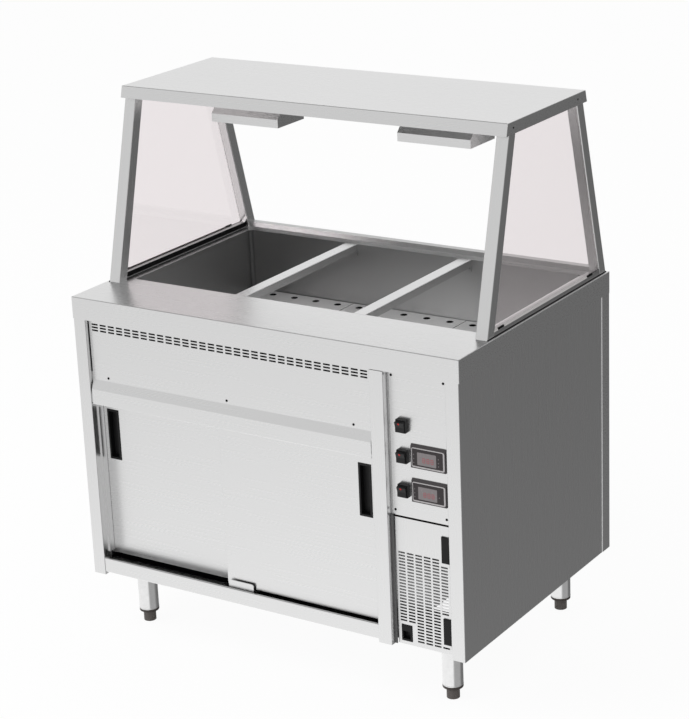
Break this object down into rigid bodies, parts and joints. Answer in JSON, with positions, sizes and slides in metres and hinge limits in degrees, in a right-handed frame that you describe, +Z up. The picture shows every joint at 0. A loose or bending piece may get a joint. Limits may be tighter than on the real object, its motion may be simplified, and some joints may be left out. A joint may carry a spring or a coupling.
{
  "type": "bain marie hot cupboard",
  "caption": "Stainless bain marie counter: wet well with pan bars over a hot cupboard with sliding doors, under a glass-sided gantry with heat lamps.",
  "frame": {"origin": "on the floor, under the centre of the bench top's width and depth", "axes": "+Z up; +X to the right and -Y towards a person facing the doors and control panel"},
  "size_m": [1.1, 0.75, 1.373],
  "materials": {
    "stainless_steel": "brushed",
    "bright_tube": "satin",
    "aluminium": "satin",
    "black_plastic": "matt",
    "rocker_black": "satin",
    "case_grey": "matt",
    "nylon": "matt",
    "foot_plastic": "matt",
    "clear_glass": "polished",
    "quartz": "polished",
    "element_sheath": "oxidised",
    "valve_brass": "plated",
    "lever_red": "dipped"
  },
  "bodies": {
    "cabinet": {"back_panel": "stainless_steel", "bar_rests": "stainless_steel", "base_pan": "stainless_steel", "base_rails": "bright_tube", "bay_partition": "stainless_steel", "bench_top": "stainless_steel", "bottom_rail": "stainless_steel", "control_gear": "case_grey", "control_panel": "stainless_steel", "controllers": "case_grey", "cupboard_floor": "stainless_steel", "cupboard_heaters": "element_sheath", "cupboard_shelf": "stainless_steel", "divider_post": "stainless_steel", "door_catch": "black_plastic", "door_guide": "stainless_steel", "door_track": "aluminium", "drain_pipe": "bright_tube", "drain_valve": "valve_brass", "gantry_shelf": "stainless_steel", "gear_plate": "stainless_steel", "glass_panes": "clear_glass", "hinge_frame_leaves": "black_plastic", "lamp_hoods": "stainless_steel", "lamp_stems": "bright_tube", "lamp_tubes": "quartz", "legs": "bright_tube", "mains_gland": "black_plastic", "posts_left": "bright_tube", "posts_right": "bright_tube", "shelf_angles": "stainless_steel", "side_panel_left": "stainless_steel", "side_panel_right": "stainless_steel", "switch_bodies": "black_plastic", "vent_fascia": "stainless_steel", "well_element": "element_sheath", "well_plates": "stainless_steel", "well_tank": "stainless_steel"},
    "left_sliding_door": {"left_door": "stainless_steel", "left_door_pull": "black_plastic", "left_door_shoes": "nylon"},
    "right_sliding_door": {"right_door": "stainless_steel", "right_door_pull": "black_plastic", "right_door_shoes": "nylon"},
    "grille_door": {"vent_door": "stainless_steel", "vent_door_pull": "black_plastic", "hinge_door_leaves": "black_plastic"},
    "upper_rocker": {"rocker_upper": "rocker_black"},
    "middle_rocker": {"rocker_middle": "rocker_black"},
    "lower_rocker": {"rocker_lower": "rocker_black"},
    "left_pan_bar": {"pan_bar_left": "stainless_steel"},
    "right_pan_bar": {"pan_bar_right": "stainless_steel"},
    "valve_lever": {"drain_lever": "lever_red"},
    "front_left_foot": {"foot_front_left": "foot_plastic"},
    "front_right_foot": {"foot_front_right": "foot_plastic"},
    "rear_left_foot": {"foot_rear_left": "foot_plastic"},
    "rear_right_foot": {"foot_rear_right": "foot_plastic"}
  },
  "joints": [
    {"name": "left_door_slide", "type": "slide", "parent": "cabinet", "child": "left_sliding_door", "axis": [1, 0, 0], "range_m": [0, 0.37]},
    {"name": "right_door_slide", "type": "slide", "parent": "cabinet", "child": "right_sliding_door", "axis": [1, 0, 0], "range_m": [-0.37, 0]},
    {"name": "grille_door_hinge", "type": "hinge", "parent": "cabinet", "child": "grille_door", "pos_m": [0.5073, -0.357, 0.153], "axis": [0, 0, 1], "range_deg": [0, 95]},
    {"name": "upper_rocker_tip", "type": "hinge", "parent": "cabinet", "child": "upper_rocker", "pos_m": [0.3874, -0.364, 0.7085], "axis": [-1, 0, 0], "range_deg": [0, 18]},
    {"name": "middle_rocker_tip", "type": "hinge", "parent": "cabinet", "child": "middle_rocker", "pos_m": [0.3874, -0.364, 0.634], "axis": [-1, 0, 0], "range_deg": [0, 18]},
    {"name": "lower_rocker_tip", "type": "hinge", "parent": "cabinet", "child": "lower_rocker", "pos_m": [0.3874, -0.364, 0.5495], "axis": [-1, 0, 0], "range_deg": [0, 18]},
    {"name": "left_pan_bar_lift", "type": "slide", "parent": "cabinet", "child": "left_pan_bar", "axis": [0, 0, 1], "range_m": [0, 0.15]},
    {"name": "right_pan_bar_lift", "type": "slide", "parent": "cabinet", "child": "right_pan_bar", "axis": [0, 0, 1], "range_m": [0, 0.15]},
    {"name": "valve_lever_turn", "type": "hinge", "parent": "cabinet", "child": "valve_lever", "pos_m": [0.43, -0.075, 0.5542], "axis": [0, 1, 0], "range_deg": [0, 90]},
    {"name": "front_left_foot_screw", "type": "slide", "parent": "cabinet", "child": "front_left_foot", "axis": [0, 0, -1], "range_m": [0, 0.03]},
    {"name": "front_right_foot_screw", "type": "slide", "parent": "cabinet", "child": "front_right_foot", "axis": [0, 0, -1], "range_m": [0, 0.03]},
    {"name": "rear_left_foot_screw", "type": "slide", "parent": "cabinet", "child": "rear_left_foot", "axis": [0, 0, -1], "range_m": [0, 0.03]},
    {"name": "rear_right_foot_screw", "type": "slide", "parent": "cabinet", "child": "rear_right_foot", "axis": [0, 0, -1], "range_m": [0, 0.03]}
  ]
}
